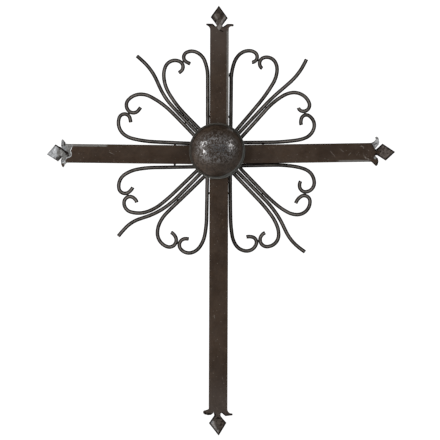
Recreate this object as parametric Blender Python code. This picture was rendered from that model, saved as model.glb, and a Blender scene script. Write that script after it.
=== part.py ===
"""A wrought iron wall cross with scrolled hearts and a domed boss.

Metres, Z up. The cross stands in the XZ plane as it hangs. Its back lies in
the plane Y = 0, and it faces -Y. The origin is at the crossing of the bars,
on the upright's back face.
"""

from math import cos, degrees, pi, radians, sin, sqrt, tan

import bmesh
import bpy
from mathutils import Matrix, Vector

MM = 0.001

# Stock
BAR_W = 25.4 * MM        # face of the rectangular tube
BAR_D = 12.7 * MM        # depth of the tube, back to front
BAR_WALL = 1.5 * MM
BAR_CORNER = 1.2 * MM    # broken edge along the tube
ROD_D = 4.76 * MM        # round rod of the hearts and rays
FIT = 0.3 * MM           # space between neighbouring pieces

# The cross
TOP_MOUTH = 176.9 * MM       # crossing to the upright's top mouth
BOTTOM_MOUTH = 351.9 * MM    # crossing to the upright's bottom mouth
LEFT_MOUTH = 213.2 * MM      # crossing to the left arm's mouth
RIGHT_MOUTH = 215.6 * MM
LEAN = 0.21                  # degrees that the upright leans to the right
LEFT_RISE = 0.71             # degrees that each arm rises outwards
RIGHT_RISE = 0.84
LEFT_DROP = 0.3 * MM         # left arm's line below the crossing
RIGHT_LIFT = 0.4 * MM        # right arm's line above it

# Split and flared bar ends
FLARE_OUT = 7.4 * MM     # how far a horn stands out from the bar's side
FLARE_RUN = 5.6 * MM     # length of bar that the bend takes
FLARE_SWEEP = 78         # degrees that the horn is bent over
FLARE_STEPS = 5
NOTCH_HALF = 8.6 * MM    # half width of the notch at the mouth
NOTCH_FOOT = 4.9 * MM    # half width at its foot
NOTCH_DEEP = 4.0 * MM
PEEL_BACK = 15.2 * MM    # front wall torn back at the left end
PEEL_HALF = 9.6 * MM
OPEN_BACK = 9.3 * MM     # front wall cut away over the right arm's upper horn

# Diamond tips
PLATE_T = 3.0 * MM
PLATE_RIDGE = 0.9 * MM   # raised middle of the hammered face
STEM_HALF = 4.0 * MM
STEM_IN = 13.0 * MM      # length of stem inside the bar
NECK_RUN = 10.3 * MM     # widest line down to the neck

# Boss
BOSS_D = 76.2 * MM
BOSS_H = 28.0 * MM
BOSS_WALL = 1.6 * MM
BOSS_LIP = 1.6 * MM      # flat rim round the dome
BOSS_X = -2.7 * MM       # the dome sits off the crossing
BOSS_Z = 5.3 * MM
BOSS_STEPS = 40
BOSS_RINGS = 7

# Nail hole in the upright's back wall
HANG_D = 7.0 * MM
HANG_DOWN = 36.9 * MM    # below the top mouth

# Rod work
ROD_SIDES = 8
ROD_TURN = 17            # degrees of bend between two rings of the mesh
POINT_BEND = 3.0 * MM    # centre radius of the tight bend at a heart's point

# Each heart: its side of the upright and of the arms (-1 or 1), the gap between
# its leg and the bar that it runs beside, how much further its point lies from
# the other bar than POINT_SEAT rods, then its leg beside the bar and its leg
# beside the ray. A leg is the way it sets off, in degrees from +X towards +Z,
# and its bends in order, each as millimetres of rod and degrees turned to the
# left. The leg beside the bar is BAR_LEG rods longer than its bends say, so
# that the curls of a thicker rod still lie back to back.
POINT_SEAT = 1.9
BAR_LEG = 1.55
HEARTS = {
    "heart_upper_left_tall": (-1, 1, 0.22, 2.256, (
        (90, ((74.622, 0), (23, 22), (18, 50), (12, 46), (16, 125), (5, 0))),
        (135, ((45, -1), (36, -14), (24, -28), (12, -23), (24, -96), (16, -115), (3, 0))))),
    "heart_upper_left_wide": (-1, 1, 0.02, 1.156, (
        (178, ((57.622, -1), (30, -11), (12, -22), (26, -73), (20, -150), (4.8, 0))),
        (133, ((60, 2), (36, 18), (12, 24), (20, 50), (18, 94), (14, 92), (4.5, 0))))),
    "heart_upper_right_tall": (1, 1, 0.82, 3.256, (
        (89.5, ((69.622, 0), (24, -19), (12, -24), (18, -54), (6, -28), (18, -140))),
        (49, ((56, 1), (36, 9), (18, 25), (12, 32), (19, 82), (18, 126))))),
    "heart_upper_right_wide": (1, 1, 1.82, 2.156, (
        (0, ((38.622, 1), (36, 7), (12, 14), (18, 52), (20, 75), (12, 100), (9, 36))),
        (47.5, ((60, 1), (30, -18), (12, -21), (30, -78), (17, -115), (8, -66))))),
    "heart_lower_left_tall": (-1, -1, 0.72, 3.456, (
        (-91, ((52.622, 0), (24, -10), (18, -25), (12, -35), (18, -71), (18, -121), (5, -20))),
        (-135.5, ((60, -1), (18, 2), (18, 23), (12, 22), (24, 70), (16, 98), (6, 36), (9, 36))))),
    "heart_lower_left_wide": (-1, -1, 0.92, 2.556, (
        (181, ((55.622, 0), (24, 10), (18, 22), (22, 67), (17, 116), (8.5, 26))),
        (-136, ((49, 0), (26, -6), (20, -18), (24, -37), (18, -82), (16, -114), (8, -40))))),
    "heart_lower_right_tall": (1, -1, 0.12, -1.544, (
        (-90, ((57.622, 1), (24, 8), (12, 19), (18, 54), (19, 80), (12, 92), (8, 28))),
        (-47, ((53, 1), (30, -8), (18, -16), (12, -23), (24, -85), (19, -117), (8, -40))))),
    "heart_lower_right_wide": (1, -1, -0.48, 3.556, (
        (1, ((42.622, 0), (30, -11), (12, -11), (24, -69), (18, -84), (12, -84), (8, -42))),
        (-46, ((51, 0), (24, 6), (18, 12), (12, 23), (30, 98), (16, 116), (8, 30), (4, 6))))),
}

# Each ray: its side of the upright and of the arms, how far its end under the
# boss lies from the upright and from the arm, the way it sets off, its bends.
RAYS = {
    "ray_upper_left": (-1, 1, 10.6, 11.9, 135.5,
        ((58, -3), (30, -18), (12, 0), (30, 22), (12, 4))),
    "ray_upper_right": (1, 1, 9.2, 11.4, 47,
        ((58, 0), (30, -7), (18, 2), (30, 20), (8, 2))),
    "ray_lower_left": (-1, -1, 7.1, 7.1, -134,
        ((52, -1), (18, -8), (34, -19), (8, 0), (24, 29), (14, 4))),
    "ray_lower_right": (1, -1, 6.3, 4, -45,
        ((64, -1), (42, -19), (8, 1), (28, 26), (10, 3))),
}


def clear_scene():
    for item in list(bpy.data.objects):
        bpy.data.objects.remove(item, do_unlink=True)


def make_material(name, colour, roughness, metallic):
    """A plain finish: base colour, roughness and metallic value."""
    material = bpy.data.materials.new(name)
    material.use_nodes = True
    shader = material.node_tree.nodes["Principled BSDF"]
    shader.inputs["Base Color"].default_value = (*colour, 1.0)
    shader.inputs["Roughness"].default_value = roughness
    shader.inputs["Metallic"].default_value = metallic
    return material


def finish(bm, name, material, smooth=False):
    """Turn a bmesh into a named object with one material."""
    bmesh.ops.recalc_face_normals(bm, faces=bm.faces)
    mesh = bpy.data.meshes.new(name)
    bm.to_mesh(mesh)
    bm.free()
    for polygon in mesh.polygons:
        polygon.use_smooth = smooth
    mesh.materials.append(material)
    item = bpy.data.objects.new(name, mesh)
    bpy.context.scene.collection.objects.link(item)
    return item


def bridge(bm, ring_a, ring_b):
    """Quads between two rings of the same number of vertices."""
    count = len(ring_a)
    for i in range(count):
        j = (i + 1) % count
        bm.faces.new((ring_a[i], ring_a[j], ring_b[j], ring_b[i]))


# Rods

def bend_points(start, heading, bends):
    """Centre line of a bent rod, as points in the XZ plane.

    Each bend is an even arc, so its points stand at equal turns along it.
    """
    x, z = start
    angle = radians(heading)
    points = [(x, z)]
    for length, turn in bends:
        steps = max(1, round(abs(turn) / ROD_TURN))
        stride = length * MM / steps
        turn_step = radians(turn) / steps
        chord = stride * (1 - turn_step ** 2 / 24)
        for _ in range(steps):
            angle += turn_step / 2
            x += chord * cos(angle)
            z += chord * sin(angle)
            angle += turn_step / 2
            points.append((x, z))
    return points


def rod_mesh(points):
    """A round rod along points in the XZ plane, its back on the wall plane."""
    bm = bmesh.new()
    radius = ROD_D / 2
    rings = []
    last = len(points) - 1
    for i, (x, z) in enumerate(points):
        before = points[max(i - 1, 0)]
        after = points[min(i + 1, last)]
        coming = Vector((x - before[0], 0, z - before[1])).normalized()
        going = Vector((after[0] - x, 0, after[1] - z)).normalized()
        along = (coming + going).normalized()
        side = along.cross(Vector((0, 1, 0)))
        ring = []
        for k in range(ROD_SIDES):
            phase = 2 * pi * (k + 0.5) / ROD_SIDES
            offset = side * (radius * cos(phase)) + Vector((0, radius * sin(phase), 0))
            ring.append(bm.verts.new(Vector((x, -radius, z)) + offset))
        rings.append(ring)
    for ring_a, ring_b in zip(rings, rings[1:]):
        bridge(bm, ring_a, ring_b)
    bm.faces.new(rings[0])
    bm.faces.new(rings[-1])
    return bm


def heart_points(point, legs):
    """One rod: in from the curl of a leg, round the tight point, out the other."""
    tip = Vector(point)
    ways = [Vector((cos(radians(h)), sin(radians(h)))) for h, _ in legs]
    half = ways[0].angle(ways[1]) / 2
    tangent = POINT_BEND / tan(half)
    runs = []
    for (heading, bends), way in zip(legs, ways):
        first = (bends[0][0] - tangent / MM, bends[0][1])
        start = tip + way * tangent
        runs.append(bend_points(start, heading, (first,) + bends[1:]))
    centre = tip + (ways[0] + ways[1]).normalized() * (POINT_BEND / sin(half))
    spoke = Vector(runs[0][0]) - centre
    sweep = pi - 2 * half
    if ways[0].x * ways[1].y - ways[0].y * ways[1].x > 0:
        sweep = -sweep
    steps = round(degrees(abs(sweep)) / ROD_TURN)
    bend = []
    for i in range(1, steps):
        turned = Matrix.Rotation(sweep * i / steps, 2) @ spoke
        bend.append(tuple(centre + turned))
    return list(reversed(runs[0])) + bend + runs[1]


def heart_point(name, side, level, gap, further):
    """A heart's point. A tall heart runs beside the upright, a wide one beside an arm."""
    beside = BAR_W / 2 + ROD_D / 2 + gap * MM
    beyond = BAR_W / 2 + POINT_SEAT * ROD_D + further * MM
    if name.endswith("tall"):
        return side * beside, level * beyond
    return side * beyond, level * beside


def build_rods(material):
    """Eight hearts and four rays."""
    for name, (side, level, gap, further, legs) in HEARTS.items():
        heading, bends = legs[0]
        longer = (bends[0][0] + BAR_LEG * ROD_D / MM, bends[0][1])
        both = ((heading, (longer,) + bends[1:]), legs[1])
        point = heart_point(name, side, level, gap, further)
        finish(rod_mesh(heart_points(point, both)), name, material, smooth=True)
    for name, (side, level, out, up, heading, bends) in RAYS.items():
        foot = (side * (BAR_W / 2 + out * MM), level * (BAR_W / 2 + up * MM))
        finish(rod_mesh(bend_points(foot, heading, bends)), name, material, smooth=True)


# Bars

def tube_section(half_w, half_d, corner):
    """Eight points round a rectangle with broken corners, seen along the tube."""
    return [
        (half_w - corner, -half_d), (half_w, corner - half_d),
        (half_w, half_d - corner), (half_w - corner, half_d),
        (corner - half_w, half_d), (-half_w, half_d - corner),
        (-half_w, corner - half_d), (corner - half_w, -half_d),
    ]


def flare_stations(mouth):
    """Places along a flared end: (height, spread) of the outer and inner skin."""
    outer = []
    inner = []
    for i in range(FLARE_STEPS + 1):
        bend = radians(FLARE_SWEEP) * i / FLARE_STEPS
        rise = FLARE_RUN * sin(bend)
        spread = FLARE_OUT * (1 - cos(bend))
        outer.append((mouth - FLARE_RUN + rise, spread))
        inner.append((mouth - FLARE_RUN + rise + BAR_WALL * sin(bend),
                      spread + BAR_WALL * (1 - cos(bend))))
    return outer, inner


def tube_mesh(bottom, top, flare_bottom):
    """A hollow bar along Z from bottom to top, in the local XZ plane.

    The top is always flared. The bottom is flared or cut square.
    """
    outer, inner = flare_stations(top)
    if flare_bottom:
        outer_foot, inner_foot = flare_stations(-bottom)
        outer = [(-z, s) for z, s in reversed(outer_foot)] + outer
        inner = [(-z, s) for z, s in reversed(inner_foot)] + inner
    else:
        outer = [(bottom, 0.0)] + outer
        inner = [(bottom, 0.0)] + inner
    bm = bmesh.new()
    skins = []
    for stations, wall in ((outer, 0.0), (inner, BAR_WALL)):
        rings = []
        for z, spread in stations:
            section = tube_section(BAR_W / 2 - wall + spread, BAR_D / 2 - wall, BAR_CORNER - wall / 2)
            rings.append([bm.verts.new((x, y - BAR_D / 2, z)) for x, y in section])
        for ring_a, ring_b in zip(rings, rings[1:]):
            bridge(bm, ring_a, ring_b)
        skins.append(rings)
    bridge(bm, skins[0][0], skins[1][0])
    bridge(bm, skins[0][-1], skins[1][-1])
    return bm


def prism(name, outline, front, back):
    """A cutter: an outline in the XZ plane, run from front to back along Y."""
    bm = bmesh.new()
    face = bm.faces.new([bm.verts.new((x, front, z)) for x, z in outline])
    grown = bmesh.ops.extrude_face_region(bm, geom=[face])
    moved = [v for v in grown["geom"] if isinstance(v, bmesh.types.BMVert)]
    bmesh.ops.translate(bm, verts=moved, vec=(0, back - front, 0))
    bmesh.ops.recalc_face_normals(bm, faces=bm.faces)
    mesh = bpy.data.meshes.new(name)
    bm.to_mesh(mesh)
    bm.free()
    cutter = bpy.data.objects.new(name, mesh)
    cutter.display_type = "WIRE"
    cutter.hide_render = True
    bpy.context.scene.collection.objects.link(cutter)
    return cutter


def cut(item, cutter):
    cutter.parent = item
    modifier = item.modifiers.new(cutter.name, "BOOLEAN")
    modifier.operation = "DIFFERENCE"
    modifier.solver = "EXACT"
    modifier.object = cutter


def notch_outline(mouth, way):
    """The opening between two horns: wide at the mouth, narrow at its foot."""
    past = mouth + way * 5 * MM
    foot = mouth - way * NOTCH_DEEP
    slope = (NOTCH_HALF - NOTCH_FOOT) / NOTCH_DEEP
    wide = NOTCH_HALF + slope * 5 * MM
    return [(-wide, past), (wide, past), (NOTCH_FOOT, foot), (-NOTCH_FOOT, foot)]


def peel_outline(mouth):
    """The front wall torn away in three scallops behind the mouth."""
    past = mouth + 5 * MM
    edge = mouth - PEEL_BACK
    return [
        (-PEEL_HALF, past), (PEEL_HALF, past), (PEEL_HALF, edge),
        (0.34 * PEEL_HALF, edge + 2.9 * MM), (0.1 * PEEL_HALF, edge + 2.2 * MM),
        (-0.17 * PEEL_HALF, edge + 1.3 * MM), (-0.56 * PEEL_HALF, edge + 4.5 * MM),
        (-0.71 * PEEL_HALF, edge + 8.0 * MM), (-PEEL_HALF, edge + 9.0 * MM),
    ]


def open_outline(mouth):
    """The slanting cut that bares the inside of the upper horn."""
    past = mouth + 5 * MM
    edge = mouth - OPEN_BACK
    side = BAR_W / 2
    return [
        (-side - 12 * MM, past), (-NOTCH_FOOT, past), (-NOTCH_FOOT, mouth - NOTCH_DEEP),
        (-side, edge), (-side - 12 * MM, edge),
    ]


def arm_start(rise):
    """Where an arm's square end clears the upright's side."""
    corner = BAR_W / 2 * sin(radians(rise + LEAN))
    return BAR_W / 2 + FIT + corner


def build_bars(material):
    """The upright and the two arms, each with its own lie."""
    front = -BAR_D - 2 * MM
    back = 2 * MM
    upright = finish(tube_mesh(-BOTTOM_MOUTH, TOP_MOUTH, True), "upright", material)
    cut(upright, prism("cut_top_notch", notch_outline(TOP_MOUTH, 1), front, back))
    cut(upright, prism("cut_bottom_notch", notch_outline(-BOTTOM_MOUTH, -1), front, back))
    hang_z = TOP_MOUTH - HANG_DOWN
    hole = [(HANG_D / 2 * cos(2 * pi * k / 16), hang_z + HANG_D / 2 * sin(2 * pi * k / 16))
            for k in range(16)]
    cut(upright, prism("cut_nail_hole", hole, -BAR_D / 2, back))
    upright.rotation_euler = (0, radians(LEAN), 0)

    left = finish(tube_mesh(arm_start(LEFT_RISE), LEFT_MOUTH, False), "left_arm", material)
    cut(left, prism("cut_left_notch", notch_outline(LEFT_MOUTH, 1), front, back))
    cut(left, prism("cut_left_peel", peel_outline(LEFT_MOUTH), front, -BAR_D / 2))
    left.location = (0, 0, -LEFT_DROP)
    left.rotation_euler = (0, radians(LEFT_RISE - 90), 0)

    right = finish(tube_mesh(arm_start(RIGHT_RISE), RIGHT_MOUTH, False), "right_arm", material)
    cut(right, prism("cut_right_notch", notch_outline(RIGHT_MOUTH, 1), front, back))
    cut(right, prism("cut_right_open", open_outline(RIGHT_MOUTH), front, -BAR_D + BAR_WALL + FIT))
    right.location = (0, 0, RIGHT_LIFT)
    right.rotation_euler = (0, radians(90 - RIGHT_RISE), 0)
    return upright, left, right


# Tips

def tip_mesh(half_w, reach, nose, slant, bend, turn, shift):
    """A diamond plate on a stem, pointing along +Z of its bar.

    reach is the bar's mouth to the widest line and nose is that line to the
    point. slant sets one corner ahead of the other, bend lays the plate back
    towards the wall at its neck, and turn swings it in its own plane.
    """
    bm = bmesh.new()
    neck = reach - NECK_RUN
    stem = neck - STEM_IN
    seat = -BAR_D + BAR_WALL + FIT + PLATE_T / 2
    outline = [
        (-STEM_HALF, stem), (STEM_HALF, stem), (STEM_HALF, neck),
        (half_w, reach - slant), (0, reach + nose),
        (-half_w, reach + slant), (-STEM_HALF, neck),
    ]
    swing = Matrix.Rotation(radians(turn), 3, "Y")
    lay = Matrix.Rotation(radians(bend), 3, "X")
    pivot = Vector((0, 0, neck))

    def place(x, y, z):
        spot = Vector((x, y, z))
        if z > neck:
            spot = pivot + lay @ (spot - pivot)
        spot = pivot + swing @ (spot - pivot)
        return bm.verts.new(spot + Vector((shift, seat, 0)))

    front = [place(x, -PLATE_T / 2, z) for x, z in outline]
    back = [place(x, PLATE_T / 2, z) for x, z in outline]
    crown = place(0, -PLATE_T / 2 - PLATE_RIDGE, reach)
    bridge(bm, front, back)
    bm.faces.new((front[0], front[1], front[2], front[6]))
    for a, b in ((2, 3), (3, 4), (4, 5), (5, 6), (6, 2)):
        bm.faces.new((front[a], front[b], crown))
    bm.faces.new((back[0], back[1], back[2], back[6]))
    bm.faces.new((back[2], back[3], back[4], back[5], back[6]))
    return bm


def build_tips(material, bars):
    """Four hammered tips, each in the mouth of its bar."""
    upright, left, right = bars
    top = finish(tip_mesh(11.7 * MM, 9.3 * MM, 16.4 * MM, 1.1 * MM, 0, -2, 0), "top_tip", material)
    top.location = (0, 0, TOP_MOUTH)
    foot_mesh = tip_mesh(12.0 * MM, 11.9 * MM, 17.4 * MM, 0.7 * MM, 0, -4.7, 1.3 * MM)
    foot = finish(foot_mesh, "bottom_tip", material)
    foot.location = (0, 0, -BOTTOM_MOUTH)
    foot.rotation_euler = (0, pi, 0)
    end = finish(tip_mesh(11.7 * MM, 7.3 * MM, 14.4 * MM, 0, -15, -9, 1.9 * MM), "left_tip", material)
    end.location = (0, 0, LEFT_MOUTH)
    other = finish(tip_mesh(11.7 * MM, 8.4 * MM, 15.1 * MM, -2.0 * MM, 0, 0, 0), "right_tip", material)
    other.location = (0, 0, RIGHT_MOUTH)
    for tip, bar in ((top, upright), (foot, upright), (end, left), (other, right)):
        tip.parent = bar


# Boss

def build_boss(material):
    """A pressed dome with a flat lip, hollow behind, seated on the bars."""
    base = BOSS_D / 2 - BOSS_LIP
    outer_r = (base ** 2 + BOSS_H ** 2) / (2 * BOSS_H)
    inner_base = base - BOSS_WALL
    inner_h = BOSS_H - BOSS_WALL
    inner_r = (inner_base ** 2 + inner_h ** 2) / (2 * inner_h)
    profile = []
    for i in range(1, BOSS_RINGS + 1):
        radius = base * sin(pi / 2 * i / BOSS_RINGS)
        profile.append((radius, BOSS_H - outer_r + sqrt(outer_r ** 2 - radius ** 2)))
    profile[-1] = (base, BOSS_WALL)
    profile.append((BOSS_D / 2, BOSS_WALL))
    profile.append((BOSS_D / 2, 0.0))
    for i in range(BOSS_RINGS, 0, -1):
        radius = inner_base * sin(pi / 2 * i / BOSS_RINGS)
        profile.append((radius, inner_h - inner_r + sqrt(inner_r ** 2 - radius ** 2)))
    bm = bmesh.new()
    rings = []
    for radius, height in profile:
        ring = []
        for k in range(BOSS_STEPS):
            phase = 2 * pi * k / BOSS_STEPS
            ring.append(bm.verts.new((radius * cos(phase), -height, radius * sin(phase))))
        rings.append(ring)
    for ring_a, ring_b in zip(rings, rings[1:]):
        bridge(bm, ring_a, ring_b)
    for ring, height in ((rings[0], BOSS_H), (rings[-1], inner_h)):
        pole = bm.verts.new((0, -height, 0))
        for k in range(BOSS_STEPS):
            bm.faces.new((ring[k], ring[(k + 1) % BOSS_STEPS], pole))
    boss = finish(bm, "boss", material, smooth=True)
    boss.location = (BOSS_X, -BAR_D - FIT, BOSS_Z)


def build():
    clear_scene()
    bar_finish = make_material("bar_lacquer", (0.048, 0.035, 0.026), 0.45, 0.55)
    rod_finish = make_material("rod_lacquer", (0.036, 0.029, 0.024), 0.40, 0.60)
    tip_finish = make_material("tip_lacquer", (0.060, 0.046, 0.037), 0.42, 0.60)
    boss_finish = make_material("boss_lacquer", (0.085, 0.070, 0.062), 0.38, 0.70)
    bars = build_bars(bar_finish)
    build_tips(tip_finish, bars)
    build_boss(boss_finish)
    build_rods(rod_finish)


build()
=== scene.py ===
# %% [markdown]
# # A wrought iron wall cross
# This lesson rebuilds a wall cross of bent rod, rectangular tube and hammered plate. The packed
# model gives the frame: where each piece lies, and how big it is. The lesson makes the looks,
# piece by piece, the way a smith would: bend the rods, saw and flare the bars, hammer the tips,
# press the dome, weld it all together, and lacquer it brown.

# %% Load the frame
from math import atan2, cos, degrees, pi, radians, sin, sqrt, tan

import bmesh
import bpy
from mathutils import Matrix, Vector, noise


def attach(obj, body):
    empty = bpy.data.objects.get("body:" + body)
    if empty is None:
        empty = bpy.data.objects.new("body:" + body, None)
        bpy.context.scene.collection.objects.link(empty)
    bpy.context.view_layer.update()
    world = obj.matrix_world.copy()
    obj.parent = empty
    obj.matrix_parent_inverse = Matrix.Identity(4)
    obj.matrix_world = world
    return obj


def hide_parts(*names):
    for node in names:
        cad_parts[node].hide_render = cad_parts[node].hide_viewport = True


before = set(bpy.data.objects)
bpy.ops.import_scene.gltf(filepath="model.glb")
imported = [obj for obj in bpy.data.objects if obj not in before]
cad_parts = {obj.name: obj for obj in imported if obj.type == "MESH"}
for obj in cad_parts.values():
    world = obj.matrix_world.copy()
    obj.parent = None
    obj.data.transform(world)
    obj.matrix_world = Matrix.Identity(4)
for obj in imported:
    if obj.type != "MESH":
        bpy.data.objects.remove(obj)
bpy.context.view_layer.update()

# %% [markdown]
# ## Sizes and the lie of the cross
# Everything is in metres. X runs to the viewer's right, Z up, and Y into the wall, whose face is
# the plane Y = 0. The origin is where the bars cross. The cross is hand made, so the upright
# leans a hair and both arms rise a little, and those angles are named here once.

# %% Named sizes
MM = 0.001
HAIR = 0.01 * MM         # two points nearer than this count as one
BAR_W = 25.4 * MM
BAR_D = 12.7 * MM
BAR_WALL = 1.5 * MM
ROD_STEEL = 4.76 * MM
LACQUER = 0.20 * MM      # the brown coat is thick on the rods
ROD_D = ROD_STEEL + 2 * LACQUER
BAR_LIE = {              # each bar's X, Z and lean in degrees
    "upright": (0.0, 0.0, 0.21),
    "left_arm": (0.0, -0.3 * MM, 0.71 - 90),
    "right_arm": (0.0, 0.4 * MM, 90 - 0.84),
}


def lie(bar):
    """The turn and shift that carries a bar from its own drawing to its place."""
    x, z, angle = BAR_LIE[bar]
    return Matrix.Translation((x, 0, z)) @ Matrix.Rotation(radians(angle), 4, "Y")


for bar in BAR_LIE:
    print(bar, "leans", BAR_LIE[bar][2], "degrees")

# %% [markdown]
# ## Moving and finishing a piece
# Every piece is built as a bmesh. A few short helpers shift, turn and stretch it. Then it is
# handed over as an object. The object stays at the origin, unturned, so a pattern on Object
# coordinates stays where it is painted. The last helper does that for all of them, puts the piece
# on its body, and hides the CAD nodes that it stands for.

# %% Helpers for meshes and objects
VERT, EDGE = bmesh.types.BMVert, bmesh.types.BMEdge


def only(kind, geometry):
    """The vertices, or the edges, in a mixed list."""
    return [g for g in geometry if isinstance(g, kind)]


def shift(bm, step, verts=None):
    bmesh.ops.translate(bm, vec=step, verts=bm.verts if verts is None else verts)


def turn(bm, angle, axis, verts=None, about=(0, 0, 0)):
    bmesh.ops.rotate(bm, cent=about, matrix=Matrix.Rotation(angle, 3, axis),
                     verts=bm.verts if verts is None else verts)


def stretch(bm, factors, verts=None):
    bmesh.ops.scale(bm, vec=factors, verts=bm.verts if verts is None else verts)


def face_out(bm):
    bmesh.ops.recalc_face_normals(bm, faces=bm.faces)


def add_object(name, data):
    made = bpy.data.objects.new(name, data)
    bpy.context.scene.collection.objects.link(made)
    return made


def to_object(bm, name):
    """Uses up a bmesh and returns it as an object."""
    mesh = bpy.data.meshes.new(name)
    bm.to_mesh(mesh)
    bm.free()
    return add_object(name, mesh)


def hand_over(bm, name, material, nodes=(), sharp=None, bar=None):
    """Turns a bmesh, drawn in place or on a bar, into a finished piece of the cross."""
    if bar:
        bmesh.ops.transform(bm, matrix=lie(bar), verts=bm.verts)
    piece = to_object(bm, name)
    mesh = piece.data
    mesh.materials.append(material)
    mesh.polygons.foreach_set("use_smooth", [True] * len(mesh.polygons))
    if sharp is not None:
        mesh.set_sharp_from_angle(angle=radians(sharp))
    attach(piece, "root")
    if nodes:
        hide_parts(*nodes)
    print(name, len(mesh.polygons), "faces")


# %% [markdown]
# ## Finishes
# The whole cross is one finish seen in four moods: brown lacquer over steel. On the bars it lies
# flat and half glossy with specks of dust in it. On the rods it is thinner and nearly black, with
# a painted highlight laid lighter along their fronts. On the tips the hammer has left lighter and
# darker patches, with painted highlights and painted shade laid over them. On the dome it has
# been rubbed back until the grey steel shows through the pits, in a band placed where the sheen
# falls. A few places are bare: the left end, where the lacquer never held, and the inner faces
# of two horns.
#
# Each finish is a small graph of nodes. Patterns read Object coordinates, in metres, so their
# scale is the real one: a speck is half a millimetre, a blotch is a few centimetres.

# %% A small helper for node graphs
class Finish:
    """A material, with short names for adding nodes and joining them."""

    def __init__(self, name):
        self.material = bpy.data.materials.new(name)
        self.material.use_nodes = True
        self.tree = self.material.node_tree
        self.shader = self.tree.nodes["Principled BSDF"]
        where = self.add("ShaderNodeTexCoord")
        self.place = where.outputs["Object"]
        self.outward = where.outputs["Normal"]

    def put(self, node, key, value):
        """Joins an output to a node's input, or sets a number or a colour on it."""
        if isinstance(value, bpy.types.NodeSocket):
            self.tree.links.new(value, node.inputs[key])
        else:
            node.inputs[key].default_value = value

    def add(self, kind, values=None, **settings):
        node = self.tree.nodes.new(kind)
        for key, value in settings.items():
            setattr(node, key, value)
        for key, value in (values or {}).items():
            self.put(node, key, value)
        return node

    def math(self, kind, first, *others):
        for other in others:
            first = self.add("ShaderNodeMath", {0: first, 1: other}, operation=kind).outputs[0]
        return first

    def plus(self, *parts):
        return self.math("ADD", *parts)

    def times(self, *parts):
        return self.math("MULTIPLY", *parts)

    def most(self, *parts):
        """The strongest of several masks."""
        return self.math("MAXIMUM", *parts)

    def around_zero(self, value, span):
        """A noise moved and scaled to wander over span, half of it to each side of 0."""
        return self.times(self.math("SUBTRACT", value, 0.5), span)

    def vector(self, kind, a, b, output=0):
        return self.add("ShaderNodeVectorMath", {0: a, 1: b}, operation=kind).outputs[output]

    def noise(self, size, detail=4.0, rough=0.55):
        """Cloudy noise whose blotches are about size metres across."""
        return self.add("ShaderNodeTexNoise", {
            "Vector": self.place, "Scale": 1 / size, "Detail": detail, "Roughness": rough,
        }).outputs["Fac"]

    def ramp(self, value, low, high, out_low=0.0, out_high=1.0):
        """A smooth step from out_low to out_high as value goes from low to high."""
        return self.add("ShaderNodeMapRange", {
            "Value": value, "From Min": low, "From Max": high, "To Min": out_low, "To Max": out_high,
        }, interpolation_type="SMOOTHSTEP").outputs["Result"]

    def lay(self, over, *mask):
        """Lays a colour over the finish so far, where the mask, all its parts multiplied, is 1."""
        self.colour = self.mix(self.times(*mask), self.colour, over)

    def mix(self, amount, first, second):
        """From the first colour to the second, each a socket or (red, green, blue)."""
        first, second = ((*c, 1) if isinstance(c, tuple) else c for c in (first, second))
        return self.add("ShaderNodeMix", {0: amount, 6: first, 7: second}, data_type="RGBA").outputs[2]

    def bump(self, height, distance, strength=1.0, under=None):
        values = {"Height": height, "Distance": distance, "Strength": strength}
        if under is not None:
            values["Normal"] = under
        return self.add("ShaderNodeBump", values).outputs["Normal"]

    def finished(self, rough, metallic, normal, shine):
        """Joins the parts of the look to the shader and returns the material."""
        for key, value in (("Base Color", self.colour), ("Roughness", rough), ("Metallic", metallic),
                           ("Normal", normal), ("Specular IOR Level", shine)):
            self.put(self.shader, key, value)
        return self.material

    def distance(self, x, z, squash=(1, 0, 1)):
        """How far, seen from the front, from a point in mm."""
        flat = self.vector("MULTIPLY", self.place, squash)
        return self.vector("DISTANCE", flat, (x * MM, 0, z * MM), "Value")

    def spots(self, spots, ragged=0.0022, soft=0.0006):
        """1 inside any of the spots (x, z, radius in mm), fading over a ragged edge."""
        wander = self.around_zero(self.noise(0.004, 3), 2 * ragged)
        return self.most(*(self.ramp(self.plus(self.distance(x, z), wander), radius * MM + soft, radius * MM - soft)
                           for x, z, radius in spots))

    def frontness(self):
        """1 where the skin faces the viewer, 0 where it is side on."""
        return self.times(self.add("ShaderNodeSeparateXYZ", {"Vector": self.outward}).outputs["Y"], -1.0)

    def streak(self, x0, z0, x1, z1, half, ragged=0.0008, soft=0.0003):
        """1 along a line between two points in mm, half a width of half mm."""
        a, b = Vector((x0 * MM, 0, z0 * MM)), Vector((x1 * MM, 0, z1 * MM))
        along = (b - a).normalized()
        across = Vector((-along.z, 0, along.x))
        run, off = (self.vector("DOT_PRODUCT", self.place, way, "Value") for way in (along, across))
        off = self.plus(self.math("SUBTRACT", off, a.dot(across)), self.around_zero(self.noise(0.003, 3), 2 * ragged))
        near = self.ramp(self.math("ABSOLUTE", off, 0.0), half * MM + soft, half * MM - soft)
        first, last = a.dot(along), b.dot(along)
        fade = min(0.004, 0.3 * (last - first))
        return self.times(near, self.times(self.ramp(run, first, first + fade), self.ramp(run, last, last - fade)))

    def streaks(self, rows, **how):
        return self.most(*(self.streak(*row, **how) for row in rows))


print("a finish reads Object coordinates, in metres")
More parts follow.
